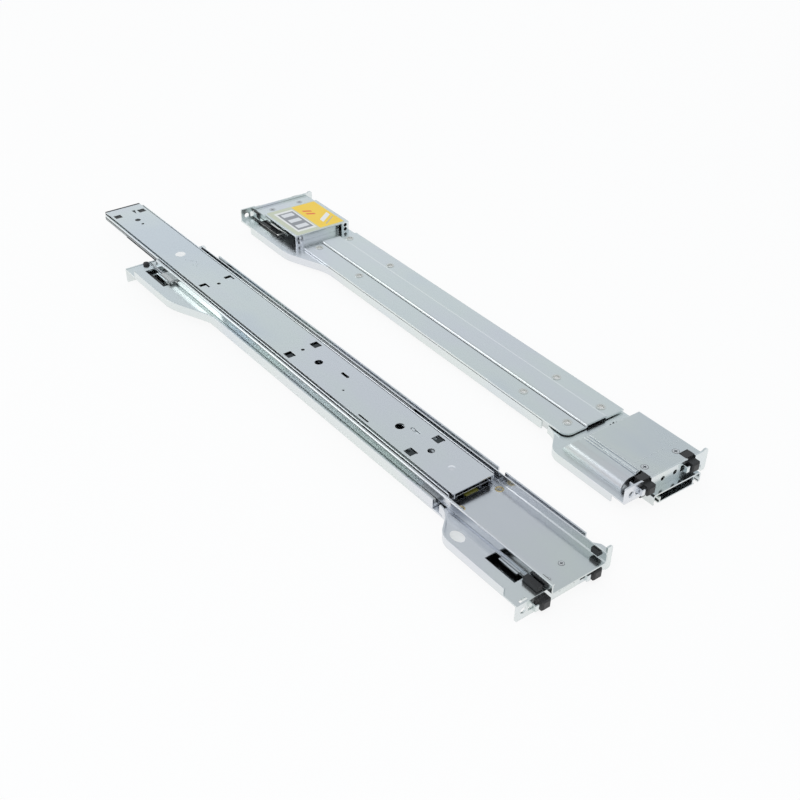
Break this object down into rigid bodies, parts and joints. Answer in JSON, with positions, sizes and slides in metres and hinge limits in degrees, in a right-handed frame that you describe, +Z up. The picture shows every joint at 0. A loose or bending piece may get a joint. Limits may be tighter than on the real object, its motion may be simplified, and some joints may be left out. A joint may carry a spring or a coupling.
{
  "type": "sliding server rail pair",
  "caption": "Pair of tool-less ball-bearing slide rails for a 19 inch rack, with square locating pegs, sprung latches and telescoping rear brackets.",
  "frame": {"origin": "bottom centre of the pair's bounding box, on the surface the rails lie on", "axes": "+X to the rack's front along the left rail, +Y from the left rail to the right one, +Z up"},
  "size_m": [0.8182, 0.2852, 0.0285],
  "materials": {
    "zinc_sheet": "bright zinc-plated sheet steel",
    "ball_steel": "polished bearing steel",
    "cage_steel": "thin plated strip",
    "rivet_brass": "yellow-passivated steel, slightly golden",
    "black_plastic": "moulded black plastic",
    "screw_steel": "plated screw",
    "spring_steel": "spring wire"
  },
  "bodies": {
    "rails": {"left_front_bracket": "zinc_sheet", "left_front_cover": "zinc_sheet", "left_back_strip": "zinc_sheet", "left_outer_channel": "zinc_sheet", "left_tubular_rivets": "rivet_brass", "left_web_screws": "screw_steel", "left_cover_screws": "screw_steel", "left_front_pegs": "black_plastic", "left_channel_bumper": "black_plastic", "left_cage_stops": "black_plastic", "left_channel_pads": "black_plastic", "left_front_latch_spring": "spring_steel", "right_front_bracket": "zinc_sheet", "right_front_cover": "zinc_sheet", "right_back_strip": "zinc_sheet", "right_outer_channel": "zinc_sheet", "right_tubular_rivets": "rivet_brass", "right_web_screws": "screw_steel", "right_cover_screws": "screw_steel", "right_front_pegs": "black_plastic", "right_channel_bumper": "black_plastic", "right_cage_stops": "black_plastic", "right_channel_pads": "black_plastic", "right_front_latch_spring": "spring_steel"},
    "left_rear_slider": {"left_rear_bracket": "zinc_sheet", "left_rear_latch_box": "zinc_sheet", "left_rear_pegs": "black_plastic", "left_box_screws": "screw_steel", "left_tray_pads": "black_plastic", "left_rear_latch_spring": "spring_steel"},
    "left_middle": {"left_middle_member": "zinc_sheet", "left_member_end_caps": "black_plastic"},
    "left_inner": {"left_inner_member": "zinc_sheet", "left_inner_end_block": "black_plastic", "left_release_pins": "screw_steel"},
    "left_release": {"left_release_slider": "zinc_sheet"},
    "left_outer_cage": {"left_outer_ball_cage": "cage_steel", "left_outer_balls": "ball_steel"},
    "left_inner_cage": {"left_inner_ball_cage": "cage_steel", "left_inner_balls": "ball_steel"},
    "left_front_latch_body": {"left_front_latch": "zinc_sheet"},
    "left_rear_latch_body": {"left_rear_latch": "zinc_sheet"},
    "right_rear_slider": {"right_rear_bracket": "zinc_sheet", "right_rear_latch_box": "zinc_sheet", "right_rear_pegs": "black_plastic", "right_box_screws": "screw_steel", "right_tray_pads": "black_plastic", "right_rear_latch_spring": "spring_steel"},
    "right_middle": {"right_middle_member": "zinc_sheet", "right_member_end_caps": "black_plastic"},
    "right_inner": {"right_inner_member": "zinc_sheet", "right_inner_end_block": "black_plastic", "right_release_pins": "screw_steel"},
    "right_release": {"right_release_slider": "zinc_sheet"},
    "right_outer_cage": {"right_outer_ball_cage": "cage_steel", "right_outer_balls": "ball_steel"},
    "right_inner_cage": {"right_inner_ball_cage": "cage_steel", "right_inner_balls": "ball_steel"},
    "right_front_latch_body": {"right_front_latch": "zinc_sheet"},
    "right_rear_latch_body": {"right_rear_latch": "zinc_sheet"}
  },
  "joints": [
    {"name": "left_rear_bracket_slide", "type": "slide", "parent": "rails", "child": "left_rear_slider", "axis": [-1, 0, 0], "range_m": [-0.008, 0.24]},
    {"name": "left_middle_slide", "type": "slide", "parent": "rails", "child": "left_middle", "axis": [1, 0, 0], "range_m": [0, 0.461]},
    {"name": "left_inner_slide", "type": "slide", "parent": "left_middle", "child": "left_inner", "axis": [1, 0, 0], "range_m": [0, 0.33]},
    {"name": "left_release_slide", "type": "slide", "parent": "left_inner", "child": "left_release", "axis": [1, 0, 0], "range_m": [0, 0.003], "stiffness_N_per_m": 60},
    {"name": "left_outer_cage_slide", "type": "slide", "parent": "rails", "child": "left_outer_cage", "axis": [1, 0, 0], "range_m": [0, 0.2305]},
    {"name": "left_inner_cage_slide", "type": "slide", "parent": "left_middle", "child": "left_inner_cage", "axis": [1, 0, 0], "range_m": [0, 0.165]},
    {"name": "left_front_latch_slide", "type": "slide", "parent": "rails", "child": "left_front_latch_body", "axis": [0, -1, 0], "range_m": [0, 0.0025], "stiffness_N_per_m": 150, "deforming": ["left_front_latch_spring"]},
    {"name": "left_rear_latch_slide", "type": "slide", "parent": "left_rear_slider", "child": "left_rear_latch_body", "axis": [0, -1, 0], "range_m": [0, 0.0025], "stiffness_N_per_m": 150, "deforming": ["left_rear_latch_spring"]},
    {"name": "right_rear_bracket_slide", "type": "slide", "parent": "rails", "child": "right_rear_slider", "axis": [-0.9997, 0.0248, 0], "range_m": [-0.008, 0.24]},
    {"name": "right_middle_slide", "type": "slide", "parent": "rails", "child": "right_middle", "axis": [0.9997, -0.0248, 0], "range_m": [-0.131, 0.33]},
    {"name": "right_inner_slide", "type": "slide", "parent": "right_middle", "child": "right_inner", "axis": [0.9997, -0.0248, 0], "range_m": [0, 0.33]},
    {"name": "right_release_slide", "type": "slide", "parent": "right_inner", "child": "right_release", "axis": [0.9997, -0.0248, 0], "range_m": [0, 0.003], "stiffness_N_per_m": 60},
    {"name": "right_outer_cage_slide", "type": "slide", "parent": "rails", "child": "right_outer_cage", "axis": [0.9997, -0.0248, 0], "range_m": [-0.0655, 0.165]},
    {"name": "right_inner_cage_slide", "type": "slide", "parent": "right_middle", "child": "right_inner_cage", "axis": [0.9997, -0.0248, 0], "range_m": [0, 0.165]},
    {"name": "right_front_latch_slide", "type": "slide", "parent": "rails", "child": "right_front_latch_body", "axis": [-0.0248, -0.9997, 0], "range_m": [0, 0.0025], "stiffness_N_per_m": 150, "deforming": ["right_front_latch_spring"]},
    {"name": "right_rear_latch_slide", "type": "slide", "parent": "right_rear_slider", "child": "right_rear_latch_body", "axis": [-0.0248, -0.9997, 0], "range_m": [0, 0.0025], "stiffness_N_per_m": 150, "deforming": ["right_rear_latch_spring"]}
  ],
  "couplings": [
    {"joint": "left_outer_cage_slide", "follows": "left_middle_slide", "ratio": 0.5},
    {"joint": "left_inner_cage_slide", "follows": "left_inner_slide", "ratio": 0.5},
    {"joint": "right_outer_cage_slide", "follows": "right_middle_slide", "ratio": 0.5},
    {"joint": "right_inner_cage_slide", "follows": "right_inner_slide", "ratio": 0.5}
  ]
}
